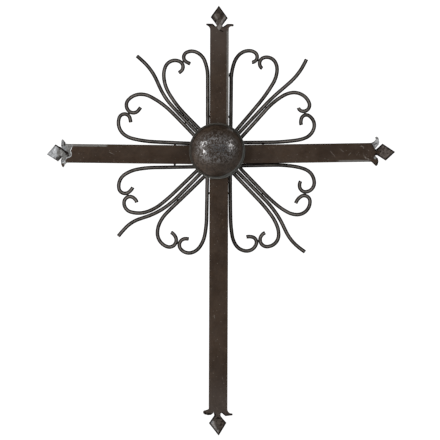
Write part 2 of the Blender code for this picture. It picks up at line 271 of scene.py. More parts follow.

# %% [markdown]
# ### Brown lacquer for the bars and the rods
# The bars' flat faces show the lacquer best. It is a warm dark brown, laid greyer and lighter near
# the two ends of the upright as painted light. Long soft blotches vary it, and pin-point specks are
# dust that dried in it. The scratches are thin, pale and few. Along the bars' edges and sawn notches
# it is laid nearly black and dull as painted shade, and pale streaks along a few edges are painted
# highlights. Where a place is bare, the shader turns into brushed grey steel.
#
# Colours are (red, green, blue) in linear light. A spot is (x, z, radius) in mm, and a streak
# (x, z, x, z, half its width) from one point to another.

# %% The lacquer
BLOTCH = 30 * MM         # sizes of the lacquer's patterns
FINE = 3.5 * MM
SPECK_GAP = 4.2 * MM
DUST = (0.17, 0.15, 0.13)
FRONT_PAINTED_HIGHLIGHT = (0.135, 0.120, 0.108)
ENDS_PAINTED_LIGHT = (0.056, 0.045, 0.039)
EDGE_PAINTED_SHADE = (0.005, 0.004, 0.003)
LINE_PAINTED_SHADE = (0.005, 0.004, 0.0035)
NICKED = (0.15, 0.13, 0.115)
EDGE_PAINTED_HIGHLIGHT = (0.17, 0.168, 0.158)
SCRATCHED = (0.22, 0.20, 0.18)
BARE_STEEL = ((0.17, 0.17, 0.165), (0.38, 0.385, 0.38))


def lacquer(name, dark, light, gloss, shine=0.5, bare=(), pale=(), scratches=(), shade_lines=(), front_highlight=False):
    """Brown lacquer, dark to light in blotches, with specks. With shade lines it is a bar's: edges painted shade, ends
    painted light.
    """
    f = Finish(name)
    fine = f.noise(FINE, 4, 0.65)
    tone = f.plus(f.times(f.noise(BLOTCH, 5, 0.6), 0.7), f.times(fine, 0.3))
    f.colour = f.mix(f.ramp(tone, 0.36, 0.64), dark, light)
    speck = f.add("ShaderNodeTexVoronoi", {"Vector": f.place, "Scale": 1 / SPECK_GAP, "Randomness": 1.0}).outputs
    dust = f.times(f.ramp(speck["Distance"], 0.16, 0.08), f.ramp(speck["Color"], 0.62, 0.66), 0.55)
    f.lay(DUST, dust)
    rough = f.ramp(f.noise(0.012, 4, 0.6), 0.3, 0.7, gloss - 0.07, gloss + 0.08)
    metallic = 0.0
    if front_highlight:
        # Painted highlight: where a rod faces the viewer it is laid lighter and shinier, standing for the line of
        # light along each round rod.
        front = f.ramp(f.frontness(), 0.90, 0.99)
        patchy = f.ramp(f.noise(0.011, 4, 0.6), 0.3, 0.7, 0.3, 1.0)
        f.lay(FRONT_PAINTED_HIGHLIGHT, front, patchy)
        shine = f.ramp(front, 0, 1, 0.1 * shine, 1.6 * shine)
    if shade_lines:
        parts = f.add("ShaderNodeSeparateXYZ", {"Vector": f.place}).outputs
        # Painted light: the upright is laid greyer and lighter towards its two ends, where its face catches more
        # light.
        ends = f.most(f.ramp(parts["Z"], 0.09, 0.17), f.ramp(parts["Z"], -0.28, -0.345))
        f.lay(ENDS_PAINTED_LIGHT, ends, 0.5)
        # Painted shade: where the rounded edges turn side-on near the front, the lacquer is laid nearly black and
        # dull.
        edge = f.times(f.ramp(f.frontness(), 0.985, 0.90),
                       f.ramp(parts["Y"], 0.0032 - BAR_D, 0.0022 - BAR_D))
        f.lay(EDGE_PAINTED_SHADE, edge, 0.9)
        nick = f.times(f.ramp(f.noise(0.005, 5, 0.7), 0.60, 0.66), edge, 0.7)
        f.lay(NICKED, nick)
    if pale:
        # Painted highlight: pale streaks along a few rounded edges, where they catch the light.
        f.lay(EDGE_PAINTED_HIGHLIGHT, f.streaks(pale), 0.6)
    if scratches:
        line = f.streaks(scratches, ragged=0.0005, soft=0.0002)
        broken = f.times(line, f.ramp(f.noise(0.004, 3), 0.42, 0.55), 0.6)
        f.lay(SCRATCHED, broken)
    if shade_lines:
        # Painted shade: dark lines along the cut edges, laid nearly black and less shiny.
        line = f.streaks(shade_lines, ragged=0.0004)
        f.lay(LINE_PAINTED_SHADE, line, 0.88)
        shine = f.ramp(f.most(line, edge), 0, 1, shine, 0.15 * shine)
    if bare:
        spot = f.spots(bare)
        steel = f.mix(f.ramp(f.noise(0.0020, 3, 0.7), 0.35, 0.65), *BARE_STEEL)
        f.lay(steel, spot)
        rough = f.add("ShaderNodeMix", {0: spot, 2: rough, 3: 0.42}).outputs[0]
        metallic = f.times(spot, 0.5)
    normal = f.bump(fine, 0.0002, 0.35, f.bump(f.noise(0.009, 3, 0.5), 0.00035, 0.5))
    return f.finished(rough, metallic, normal, shine)


# Painted shade: dark streaks along the sawn notches and the horns' ends, where the cut edges lie in shadow: top,
# bottom, left and right.
NOTCH_SHADE_LINES = [
    (-17.2, 176, -8.6, 177.2, 1.7), (-8.8, 177.4, -4.6, 173.2, 1.3), (5.2, 173.2, 11.4, 177.4, 1.5),
    (11, 177.2, 18.6, 177, 0.95), (16.6, 174.4, 20.2, 175.4, 0.95), (-0.2, 169.4, 7, 166.6, 0.85),
    (-21, -349.8, -16.6, -351.2, 1.5), (-17.2, -351.2, -8.8, -352, 1.5), (-9.4, -352.4, -5.6, -349.8, 1.3),
    (3, -349.8, 9, -354, 1.7), (8.2, -353.8, 14.8, -353.2, 1.5), (14, -353.4, 18, -351.2, 1.3),
    (-4.9, -350, -4.7, -355.6, 0.95), (2.2, -350, 2, -355.6, 0.95), (-4, -357, 1.4, -357, 1.3),
    (-208, 15, -212.4, 21, 0.95),
    (206, 17.6, 212, 7.8, 1.4), (211, 8.4, 214.6, 4, 1.3), (210.8, -0.6, 214.6, 2.6, 1.1),
    (206.8, -9.8, 213, -14.6, 1.1), (212.6, -14.6, 216.2, -9, 1.1), (216.2, -9.8, 215.4, -5.2, 0.95),
    (215.6, -6, 211, -0.4, 1.3),
]
BAR_BROWN = lacquer(
    "bar_brown_lacquer", (0.0245, 0.0145, 0.0087), (0.0385, 0.0245, 0.0158), 0.42, shine=0.28,
    bare=[(-211, 17, 4.5), (-210, 12, 3), (-208, -12, 2.5), (214, 20, 4.5), (216, 14, 4), (211.6, -4.4, 2)],
    pale=[(11.5, 28, 11.8, 170, 1.3), (-212, 13.6, -150, 12.9, 1.9), (160, -8.5, 206, -8, 1.1)],
    scratches=[(192.2, 12.6, 196.6, 10, 0.6), (196.3, 10.6, 195.3, 5, 0.6), (195.2, 4.2, 196.8, -2, 0.6),
               (196.2, -0.6, 200.4, -6, 0.8), (199.6, -5.2, 207.2, -6.4, 0.9), (150, 6, 158, -3, 0.3),
               (163, 9, 170, 3, 0.28), (174, -2, 181, 5, 0.3), (202.2, 6.4, 205, 4, 0.4),
               (186, -1, 190, 4, 0.3), (199, 1, 203, -3, 0.3), (-8, -210, -5, -226, 0.25),
               (4, -300, 7, -312, 0.25), (-150, 4, -141, 0, 0.25)],
    shade_lines=NOTCH_SHADE_LINES,
)
ROD_BROWN = lacquer("rod_brown_lacquer", (0.004, 0.0028, 0.002), (0.009, 0.0064, 0.0045), 0.36, shine=0.28,
                    front_highlight=True)
WELD_BROWN = lacquer("weld_bead_lacquer", (0.050, 0.040, 0.033), (0.11, 0.095, 0.085), 0.46)
WELD_BLACK = lacquer("black_weld_bead", (0.004, 0.0035, 0.003), (0.012, 0.010, 0.009), 0.5)
print("finishes", BAR_BROWN.name, ROD_BROWN.name, WELD_BROWN.name, WELD_BLACK.name)

# %% [markdown]
# ### The tips' and the dome's finish
# A hammered plate is never one colour: lacquer pools in the dents and wears off the high places.
# The dome is the same story, finer: pits of two or three millimetres, rubbed grey in the middle
# and brown round the rim, with a dark groove and a greyer lip. The grey band sits where the lights'
# sheen falls, so it is partly a painted highlight, and the brown above and below it is partly
# painted shade. The dark groove is painted shade in the crease. Both finishes mix the brown with
# a greyer metal by a pebbly noise. Dark marks are painted shade along rims and cut edges and in
# spots. They are dull as well as dark, or the light that slides off a tilted plate would turn them
# grey.

# %% The hammered finishes
SHEEN = (0.22, 0.205, 0.195)
BEATEN_STEEL = ((0.14, 0.143, 0.147), (0.235, 0.242, 0.250))
BLACK = (0.008, 0.006, 0.005)


def hammered(name, dark, worn, size, amount, gloss, bare=(), pale=(), shade=(), shade_lines=(), edge=0.9, show=0.75,
             shade_strength=0.85):
    """Brown lacquer worn to grey on a beaten plate, with painted shade along its rim and painted highlight bands."""
    f = Finish(name)
    pebble = f.noise(size, 4, 0.7)
    cloud = f.noise(size * 7, 3, 0.5)
    wear = f.ramp(f.plus(f.times(pebble, 0.65), f.times(cloud, 0.35)), 0.42, 0.62)
    f.colour = f.mix(f.times(wear, amount), dark, worn)
    rough = f.ramp(pebble, 0.3, 0.7, gloss + 0.10, gloss - 0.06)
    metallic = f.ramp(wear, 0.0, 1.0, 0.0, 0.30)
    if pale:
        # Painted highlight: pale bands of sheen colour where the beaten facets catch the light.
        band = f.streaks(pale)
        f.lay(SHEEN, band, show)
        metallic = f.times(metallic, f.ramp(band, 0, 1, 1, 0.2))
    if bare:
        spot = f.spots(bare, 0.0026)
        steel = f.mix(f.ramp(f.noise(0.0026, 3, 0.6), 0.35, 0.65), *BEATEN_STEEL)
        f.lay(steel, spot)
        metallic = f.most(metallic, f.times(spot, 0.25))
    # Painted shade: the dark line along the rim, the shade spots and the shade lines, all laid black and dull.
    dull = f.times(f.ramp(f.add("ShaderNodeAttribute", attribute_name="rim").outputs["Fac"], 0.25, 0.60), edge)
    if shade:
        dull = f.most(dull, f.times(f.spots(shade, 0.002), shade_strength))
    if shade_lines:
        dull = f.most(dull, f.streaks(shade_lines, ragged=0.0003))
    f.lay(BLACK, dull)
    metallic = f.times(metallic, f.ramp(dull, 0, 1, 1, 0))
    return f.finished(rough, metallic, f.bump(pebble, 0.0004, 0.5), f.ramp(dull, 0, 1, 0.4, 0.06))


def dome_rubbed_with_painted_sheen(name):
    """The dome's lacquer: brown round the rim, worn to grey grains in the middle where the sheen falls, painted shade
    in the crease.
    """
    f = Finish(name)
    grain = f.noise(0.0036, 5, 0.75)
    fine = f.noise(0.0019, 3, 0.7)
    cloud = f.noise(0.013, 3, 0.5)
    tall = 1.45                                  # the rubbed patch is wider than it is tall
    away = f.distance(-4.0, tall * 8.5, squash=(1, 0, tall))
    # Partly painted highlight and shade: the grey worn band lies across the middle where the lights' sheen falls, and
    # the brown above and below it stands partly for painted shade.
    middle = f.ramp(f.plus(away, f.times(cloud, 0.012)), 0.045, 0.022)
    tone = f.plus(f.times(grain, 0.6), f.times(fine, 0.4), f.around_zero(cloud, 0.22))
    wear = f.times(f.ramp(tone, 0.48, 0.55), middle)
    brown = f.mix(f.ramp(tone, 0.38, 0.58), (0.014, 0.0090, 0.0055), (0.048, 0.033, 0.023))
    f.colour = f.mix(wear, brown, (0.150, 0.148, 0.150))
    wander = f.around_zero(grain, 0.0016)
    ring = f.plus(f.distance(-2.7, 5.3), wander)
    # Painted shade: a dark ring in the crease where the dome meets its lip.
    groove = f.times(f.ramp(ring, 0.0338, 0.0346), f.ramp(ring, 0.0360, 0.0354), 0.7)
    f.lay((0.010, 0.007, 0.005), groove)
    lip = f.times(f.ramp(ring, 0.0355, 0.0362), f.ramp(ring, 0.0380, 0.0374), 0.5)
    low_right = f.times(f.ramp(f.plus(f.distance(-5.6, 8.0), wander), 0.0374, 0.0386), 0.75)
    f.lay((0.120, 0.124, 0.116), f.most(lip, low_right))
    rough, metallic, shine = (f.ramp(wear, 0.0, 1.0, *span) for span in ((0.42, 0.27), (0.0, 0.8), (0.22, 0.5)))
    normal = f.bump(fine, 0.00018, 0.5, f.bump(grain, 0.00042, 0.5))
    return f.finished(rough, metallic, normal, shine)


DOME_BROWN = dome_rubbed_with_painted_sheen("dome_rubbed_lacquer_and_painted_sheen")
TIP_DARK = (0.020, 0.0130, 0.0085)
TIP_WORN = (0.092, 0.074, 0.061)
STEEL_DARK = (0.22, 0.22, 0.22)
TIP_FINISHES = {
    "top_tip": hammered(
        "top_tip_lacquer", TIP_DARK, TIP_WORN, 0.0045, 0.85, 0.42, show=0.55, shade_strength=0.6,
        pale=[(10.8, 188.6, 1.8, 176, 2.2), (3.2, 178.5, -2.6, 165.5, 2.4),
              (-7, 192.4, -1.6, 183, 1, 0.0015, 0.0010), (-4.6, 181.2, -3, 177.2, 0.8)],
        shade=[(-0.6, 194.4, 2.6), (3.6, 189.4, 2.6), (-7.6, 184.6, 2), (-0.6, 183.6, 1.4)],
        shade_lines=[(-3.9, 185, -5.4, 174, 0.7), (8, 182.6, 3.4, 174.5, 0.8)]),
    "bottom_tip": hammered(
        "bottom_tip_lacquer", TIP_DARK, TIP_WORN, 0.0040, 0.9, 0.40, show=0.78,
        bare=[(-9.4, -363.2, 1.7)],
        pale=[(-10.4, -359.5, -3.8, -379, 2.5, 0.0018, 0.0014), (5.6, -357.5, 9.6, -364, 0.7),
              (-1.8, -372, -1.6, -380, 1, 0.001, 0.0008)],
        shade=[(-3.7, -361.6, 1), (2.6, -366, 1.8), (4.4, -361, 1.4)],
        shade_lines=[(-4.9, -356.8, 1.9, -358, 0.7)]),
    "left_tip": hammered(
        "left_tip_bare_steel", (0.085, 0.082, 0.077), (0.21, 0.21, 0.205), 0.004, 0.9, 0.44, edge=0.4,
        bare=[(-228, 1, 8), (-223, 7.5, 4.5), (-222, -2, 3), (-213.5, 17, 3.6), (-210, 9, 3.4),
              (-211, -10, 2.6)],
        shade=[(-218.3, -4.8, 2.7), (-220.4, -7.2, 2.2), (-215.4, -2, 2), (-216.2, 8, 1), (-210.6, -2, 1.1),
               (-207.4, 0.4, 1), (-213, 12.4, 1.1), (-204.6, -0.6, 1.5), (-211.8, -16.4, 2.9)],
        shade_lines=[(-225.5, 16.2, -203, 0.8, 1.1), (-210.5, 5.6, -202.6, 0.2, 1.5),
                (-209.6, 19.5, -209.4, 10.5, 0.7), (-213, -14.6, -204.6, -9.6, 0.8),
                (-208.4, -8.6, -201.8, -6.4, 0.6)]),
    "right_tip": hammered("right_tip_lacquer", TIP_DARK, (0.150, 0.125, 0.112), 0.0030, 0.9, 0.42),
}
HORN_STEEL = hammered(
    "bared_horn_steel", STEEL_DARK, (0.66, 0.66, 0.67), 0.0032, 0.95, 0.40, shade=[(213.8, 23.8, 2.4)],
    shade_lines=[(209.4, 13, 215.4, 16.4, 0.6), (216.4, 12.4, 212, 8, 0.7), (208.8, -1.6, 210.4, -6.6, 0.7)])
LIP_STEEL = hammered("torn_lip_steel", STEEL_DARK, (0.62, 0.63, 0.63), 0.003, 0.95, 0.34)
print("finishes", DOME_BROWN.name, HORN_STEEL.name, *(m.name for m in TIP_FINISHES.values()))

# %% [markdown]
# ## Bending rod
# A smith bends a scroll in one go: hold the rod, bend it so many degrees over so many
# millimetres, move on, bend again. Blender's spin does the same to a ring of edges: it sweeps
# the ring round a centre and leaves a skin behind. A bend is written as (millimetres of rod,
# degrees to the left), and a bend of no degrees is a straight run. The radius follows: length
# divided by angle. Nothing else is needed, and the tables below read like a bending list.

# %% Bend a ring, or a single vertex, along a list of bends
RING_GAP = 2.6 * MM      # rod between two rings of the skin
RING_TURN = 7            # or degrees of bend between them
WALL_AXIS = Vector((0, -1, 0))
NO_STEP = {"dvec": (0, 0, 0), "use_duplicate": False}


def pointing(heading):
    """A step of one along a heading in degrees, seen from the front."""
    return Vector((cos(radians(heading)), 0, sin(radians(heading))))


def straight_on(bm, geometry, step):
    """Extrudes a ring, or one vertex, by a step."""
    edges = only(EDGE, geometry)
    if edges:
        grown = bmesh.ops.extrude_edge_only(bm, edges=edges)["geom"]
        verts = only(VERT, grown)
        last = verts + [e for e in only(EDGE, grown) if all(v in verts for v in e.verts)]
    else:
        verts = last = bmesh.ops.extrude_vert_indiv(bm, verts=geometry)["verts"]
    shift(bm, step, verts)
    return last


def bend_along(bm, geometry, place, heading, bends):
    """Carries geometry along bends in the plane of the wall, and returns the end and its path."""
    angle = radians(heading)
    place = Vector(place)
    path = [place.copy()]
    for length, bend in bends:
        length = length * MM
        bend = radians(bend)
        steps = max(1, round(length / RING_GAP), round(abs(degrees(bend)) / RING_TURN))
        if bend == 0:
            step = Vector((cos(angle), 0, sin(angle))) * (length / steps)
            for _ in range(steps):
                geometry = straight_on(bm, geometry, step)
                place = place + step
                path.append(place.copy())
            continue
        left = Vector((-sin(angle), 0, cos(angle)))
        centre = place + left * (length / bend)
        geometry = bmesh.ops.spin(bm, geom=geometry, cent=centre, axis=WALL_AXIS, angle=bend, steps=steps,
                                  **NO_STEP)["geom_last"]
        for i in range(1, steps + 1):
            path.append(centre + Matrix.Rotation(bend * i / steps, 3, WALL_AXIS) @ (place - centre))
        place = path[-1].copy()
        angle += bend
    return geometry, place, degrees(angle), path


print("bends are (mm of rod, degrees to the left)")

# %% [markdown]
# A rod has a thickness and two sawn ends. The ring is a circle whose axis points along the rod.
# At an end, two last short extrusions draw the ring in for a broken edge, and a fill closes it.
# Hot rod is never quite round: a slow noise a twentieth of a millimetre high, pushed along the
# normals, gives the highlights the slight wobble that the real ones have.

# %% Rod helpers
ROD_SIDES = 20
ROD_Y = -ROD_D / 2 - 0.06 * MM   # rods lie with their backs on the wall plane
CHAMFER = 0.5 * MM
WOBBLE_SIZE = 9 * MM
WOBBLE_HEIGHT = 0.06 * MM


def rod_ring(bm, place, heading):
    """A circle of edges across a rod that sets off along heading."""
    facing = pointing(heading).to_track_quat("Z", "Y").to_matrix().to_4x4()
    verts = bmesh.ops.create_circle(bm, segments=ROD_SIDES, radius=ROD_D / 2,
                                    matrix=Matrix.Translation(place) @ facing)["verts"]
    return verts + list(dict.fromkeys(e for v in verts for e in v.link_edges))


def saw_off(bm, ring, place, heading):
    """Breaks the edge of a rod's end and closes it."""
    along = pointing(heading)
    for step, shrink in ((0.7 * CHAMFER, 0.90), (0.3 * CHAMFER, 0.82)):
        ring = straight_on(bm, ring, along * step)
        place = place + along * step
        bmesh.ops.scale(bm, vec=(shrink,) * 3, verts=only(VERT, ring), space=Matrix.Translation(-place))
    bmesh.ops.edgeloop_fill(bm, edges=only(EDGE, ring))


def finish_rod(bm, name, seed):
    """Pushes a rod's skin in and out by a slow noise and hands the rod over."""
    face_out(bm)
    bm.normal_update()
    away = Vector((seed, 2.7 * seed, -1.3 * seed))
    moved = [(v, v.normal * (WOBBLE_HEIGHT * noise.noise(v.co / WOBBLE_SIZE + away))) for v in bm.verts]
    for v, step in moved:
        v.co += step
    hand_over(bm, name + "_rod", ROD_BROWN, [name])


# %% [markdown]
# ### Rays
# A ray is one wavy rod that leaves from under the dome between two hearts and ends sawn off.
# Each row is the end under the dome in millimetres, the way it sets off, and its bends.

# %% The four rays
RAYS = {
    "ray_upper_left": ((-23.3, 24.6), 135.5, ((58, -3), (30, -18), (12, 0), (30, 22), (12, 4))),
    "ray_upper_right": ((21.9, 24.1), 47, ((58, 0), (30, -7), (18, 2), (30, 20), (8, 2))),
    "ray_lower_left": ((-19.8, -19.8), -134, ((52, -1), (18, -8), (34, -19), (8, 0), (24, 29), (14, 4))),
    "ray_lower_right": ((19, -16.7), -45, ((64, -1), (42, -19), (8, 1), (28, 26), (10, 3))),
}
rod_paths = {}
for number, (name, (start, heading, bends)) in enumerate(RAYS.items()):
    bm = bmesh.new()
    foot = Vector((start[0] * MM, ROD_Y, start[1] * MM))
    first = rod_ring(bm, foot, heading)
    last, end, way, path = bend_along(bm, first, foot, heading, bends)
    saw_off(bm, last, end, way)
    saw_off(bm, first, foot, heading + 180)
    rod_paths[name] = [path]
    finish_rod(bm, name, 3.1 + number)

# %% [markdown]
# ### Hearts
# A heart starts as the tight bend at its point, under the dome. From there the rod is carried
# both ways: one leg runs beside a bar and the other beside a ray, and both end in a curl, back
# to back. The two legs' straight lines meet at the point, so the tight bend is the fillet
# between them, and its share of each leg comes off the first straight run.

# %% The eight hearts
POINT_BEND = 3.0         # mm, the radius of the tight bend
HEARTS = {
    "heart_upper_left_tall": ((-15.3, 24), (
        (90, ((82, 0), (23, 22), (18, 50), (12, 46), (16, 125), (5, 0))),
        (135, ((45, -1), (36, -14), (24, -28), (12, -23), (24, -96), (16, -115), (3, 0))))),
    "heart_upper_left_wide": ((-22.9, 15.1), (
        (178, ((65, -1), (30, -11), (12, -22), (26, -73), (20, -150), (4.8, 0))),
        (133, ((60, 2), (36, 18), (12, 24), (20, 50), (18, 94), (14, 92), (4.5, 0))))),
    "heart_upper_right_tall": ((15.9, 25), (
        (89.5, ((77, 0), (24, -19), (12, -24), (18, -54), (6, -28), (18, -140))),
        (49, ((56, 1), (36, 9), (18, 25), (12, 32), (19, 82), (18, 126))))),
    "heart_upper_right_wide": ((23.9, 16.9), (
        (0, ((46, 1), (36, 7), (12, 14), (18, 52), (20, 75), (12, 100), (9, 36))),
        (47.5, ((60, 1), (30, -18), (12, -21), (30, -78), (17, -115), (8, -66))))),
    "heart_lower_left_tall": ((-15.8, -25.2), (
        (-91, ((60, 0), (24, -10), (18, -25), (12, -35), (18, -71), (18, -121), (5, -20))),
        (-135.5, ((60, -1), (18, 2), (18, 23), (12, 22), (24, 70), (16, 98), (6, 36), (9, 36))))),
    "heart_lower_left_wide": ((-24.3, -16), (
        (181, ((63, 0), (24, 10), (18, 22), (22, 67), (17, 116), (8.5, 26))),
        (-136, ((49, 0), (26, -6), (20, -18), (24, -37), (18, -82), (16, -114), (8, -40))))),
    "heart_lower_right_tall": ((15.2, -20.2), (
        (-90, ((65, 1), (24, 8), (12, 19), (18, 54), (19, 80), (12, 92), (8, 28))),
        (-47, ((53, 1), (30, -8), (18, -16), (12, -23), (24, -85), (19, -117), (8, -40))))),
    "heart_lower_right_wide": ((25.3, -14.6), (
        (1, ((50, 0), (30, -11), (12, -11), (24, -69), (18, -84), (12, -84), (8, -42))),
        (-46, ((51, 0), (24, 6), (18, 12), (12, 23), (30, 98), (16, 116), (8, 30), (4, 6))))),
}
for number, (name, (point, legs)) in enumerate(HEARTS.items()):
    bm = bmesh.new()
    gap = (legs[1][0] - legs[0][0] + 180) % 360 - 180
    half = abs(gap) / 2
    middle = legs[0][0] + gap / 2
    reach = (POINT_BEND / sin(radians(half)) - POINT_BEND) * MM
    apex = Vector((point[0] * MM, ROD_Y, point[1] * MM)) + pointing(middle) * reach
    fillet = POINT_BEND * radians(90 - half)
    tangent = POINT_BEND / tan(radians(half))
    first = rod_ring(bm, apex, middle + 90)
    rod_paths[name] = []
    for heading, ((run, bend), *more) in legs:
        side = 1 if (heading - middle + 180) % 360 - 180 > 0 else -1
        bends = [(fillet, -side * (90 - half)), (run - tangent, bend), *more]
        last, end, way, path = bend_along(bm, first, apex, middle + 90 * side, bends)
        saw_off(bm, last, end, way)
        rod_paths[name].append(path)
    finish_rod(bm, name, 11.3 + number)

# %% [markdown]
# ### Weld beads on the rods
# The curls of a heart are tacked together where they touch. The code knows both paths, so it
# finds the place by itself: the closest pair of points on the outer half of the two legs. A bead
# is a small ball, squashed towards the wall and roughened, because weld metal freezes in ripples.

# %% Beads at the clefts
def bead(bm, place, size, seed):
    """One blob of weld metal at a place in metres, its (x, y, z) radii in mm."""
    made = bmesh.ops.create_icosphere(bm, subdivisions=3, radius=1.0)["verts"]
    for v in made:
        v.co *= 1 + 0.16 * noise.noise(v.co * 1.6 + Vector((seed, 0, -seed)))
    stretch(bm, [s * MM for s in size], made)
    shift(bm, place, made)


def closest(first, second):
    """The middle of the closest pair of points on two paths, and how far apart they are."""
    a, b = min(((a, b) for a in first for b in second), key=lambda pair: (pair[0] - pair[1]).length_squared)
    return (a + b) / 2, (a - b).length


bm = bmesh.new()
for number, name in enumerate(HEARTS):
    bar_leg, ray_leg = (path[len(path) // 2:] for path in rod_paths[name])
    place, apart = closest(bar_leg, ray_leg)
    bead(bm, place, (1.5, 1.6, 1.5), number)
    print(name, "curls touch at", [round(v / MM, 1) for v in place], "axes apart", round(apart / MM, 2))
hand_over(bm, "cleft_weld_beads", ROD_BROWN)

# %% [markdown]
# ## Bars
# A bar is a rectangular tube. Its end is sawn with a notch, and the two corners left over are
# bent out into horns. Seen from the front, all of that is one outline, so the bar is drawn as
# its outline, walked with a single vertex: straight runs, one spin for each horn's outer
# curve, and a half turn round the tip. The outline is filled, given the tube's depth, its long
# edges rounded, and then hollowed with a core, so that the mouths show their true wall.

# %% The horns' table
# Sizes in mm; a point is (from the bar's axis, behind the mouth). Each horn leaves the bar's side
# at start. Where it was bent in one sweep it has a tip (how far out, how far behind, thickness)
# and the walk makes the curve; where it was beaten into a corner it has an elbow instead, its
# points one by one. The inner points lead from the tip to the notch, and a tongue may follow.
# The first of each pair is the horn on the bar's own left.
BOTTOM_TONGUE = ((3.4, 1), (3.6, -3), (2.9, -4.8), (1.6, -5.7), (0, -6))
RIGHT_TONGUE = ((2.6, 1), (1.9, -1.6), (1, -2.9), (0, -3.4))
HORNS = {
    "top": (
        {"start": 7, "tip": (5.6, 0.6, 1.7), "inner": ((8.9, -0.9), (5.4, 2.6))},
        {"start": 5.6, "tip": (6.2, 2, 2.6), "inner": ((17.6, -0.7), (10.7, -0.7), (5.2, 3))},
    ),
    "bottom": (
        {"start": 6.2, "tip": (7, 0.6, 2), "inner": ((16.1, -1.7), (10, -2.4), (5, 1.8)),
         "tongue": BOTTOM_TONGUE},
        {"start": 7, "elbow": ((14, 5.7), (16.7, 4.9), (19.2, 4.3), (20.4, 2.9), (19.9, 1.2)),
         "inner": ((17.8, -0.3), (13.5, -1.2), (9.6, -0.8), (7.6, 0.6), (5.6, 2.6)), "tongue": BOTTOM_TONGUE},
    ),
    "left": (
        {"start": 7.3, "elbow": ((13, 6.4), (14.8, 4.4), (18.7, 2.3), (19.2, 1.5)),
         "inner": ((17.6, 0.4), (15.4, -0.5), (11.7, -1.4), (8, -0.6), (5.4, 1.4))},
        {"start": 6.4, "elbow": ((12.9, 5.6), (13.5, 4.7), (15.5, 3.8), (18.3, 1.5), (18.9, 0.8)),
         "inner": ((18.2, -0.1), (16.7, -0.9), (10.4, -1.2), (6.8, 0.6))},
    ),
    "right": (
        {"start": 9, "elbow": ((13.1, 8), (14.8, 4.8), (17, 2.4), (18.5, 1.7), (20, 3), (21, 2.5)),
         "inner": ((21.2, 1.2), (20.2, -0.3), (18.2, -1.4), (14.2, -2.1), (11.1, -1.4), (5.3, 3.5)),
         "tongue": RIGHT_TONGUE},
        {"start": 8.8, "elbow": ((13.3, 7.9), (17, 4.2), (18.5, 2.7), (18.3, 1.6)),
         "inner": ((16.3, 0.4), (12.9, -0.5), (9.2, 0.1), (6.1, 2.9), (3.9, 4.6)), "tongue": RIGHT_TONGUE},
    ),
}
MOUTHS = {end: reach * MM for end, reach in (("top", 176.9), ("bottom", 351.9), ("left", 213.2), ("right", 215.6))}


def walk(bm, here, side, mouth, points):
    """Carries one vertex along points, each (from the axis, behind the mouth) in mm."""
    for across, behind in points:
        goal = Vector((side * across * MM, 0, mouth - behind * MM))
        here = straight_on(bm, here, goal - here[0].co)
    return here


def swept_tip(bm, here, side, mouth, horn):
    """One sweep outwards from the bar's side, and a half turn round the horn's tip."""
    out, back, thick = horn["tip"]
    rise = (horn["start"] - back) * MM
    reach = (out - thick / 2) * MM
    radius = (rise ** 2 + reach ** 2) / (2 * reach)
    centre = Vector((side * (BAR_W / 2 + radius), 0, mouth - horn["start"] * MM))
    axis = Vector((0, side, 0))
    here = bmesh.ops.spin(bm, geom=here, cent=centre, axis=axis, angle=2 * atan2(reach, rise), steps=8,
                          **NO_STEP)["geom_last"]
    tip = only(VERT, here)[0].co.copy()
    away = (tip - centre).normalized()
    return only(VERT, bmesh.ops.spin(bm, geom=here, cent=tip + away * (thick / 2 * MM), axis=axis, angle=-pi,
                                     steps=6, **NO_STEP)["geom_last"])


def bar_outline(bm, low, end, tongues=True):
    """The face of one half of a bar, from low to its mouth, as a row of edges."""
    mouth = MOUTHS[end]
    for side, horn in zip((-1, 1), HORNS[end]):
        here = [bm.verts.new((side * BAR_W / 2, 0, low))]
        here = walk(bm, here, side, mouth, [(BAR_W / 2 / MM, horn["start"])])
        if "tip" in horn:
            here = swept_tip(bm, here, side, mouth, horn)
        else:
            here = walk(bm, here, side, mouth, horn["elbow"])
        here = walk(bm, here, side, mouth, horn["inner"])
        straight_in = [(0, horn["inner"][-1][1])]
        walk(bm, here, side, mouth, horn.get("tongue", straight_in) if tongues else straight_in)


print("mouths at", {end: round(mouth / MM, 1) for end, mouth in MOUTHS.items()}, "mm")

# %% [markdown]
# The core that hollows a bar is a plain bar itself, one wall thinner all round, that opens out
# a little in the horns. A Boolean takes it away. Exact Booleans want clean closed solids, and a
# filled outline pushed back by the tube's depth is just that.

# %% From outline to tube
EDGE_ROUND = 2.2 * MM


def push_back(bm, front, back):
    """Fills the loops of edges and gives the face its depth, from front to back in Y."""
    bmesh.ops.remove_doubles(bm, verts=bm.verts, dist=2 * HAIR)
    bmesh.ops.contextual_create(bm, geom=bm.edges[:])
    shift(bm, (0, front, 0))
    grown = bmesh.ops.extrude_face_region(bm, geom=bm.faces[:])["geom"]
    shift(bm, (0, back - front, 0), only(VERT, grown))
    face_out(bm)


def block(points, front, back, unit=MM):
    """A block with a straight-sided outline, points as (across, along), from front to back in Y."""
    bm = bmesh.new()
    here = [bm.verts.new((points[0][0] * unit, 0, points[0][1] * unit))]
    for across, along in points[1:]:
        here = straight_on(bm, here, Vector((across * unit, 0, along * unit)) - here[0].co)
    bmesh.ops.contextual_create(bm, geom=[here[0], bm.verts[:][0]])
    push_back(bm, front, back)
    return bm


def bake_down(item):
    """A bmesh of an object with its modifiers applied. The object goes away."""
    view = bpy.context.evaluated_depsgraph_get()
    mesh = bpy.data.meshes.new_from_object(item.evaluated_get(view))
    bm = bmesh.new()
    bm.from_mesh(mesh)
    bpy.data.meshes.remove(mesh)
    bpy.data.objects.remove(item)
    return bm


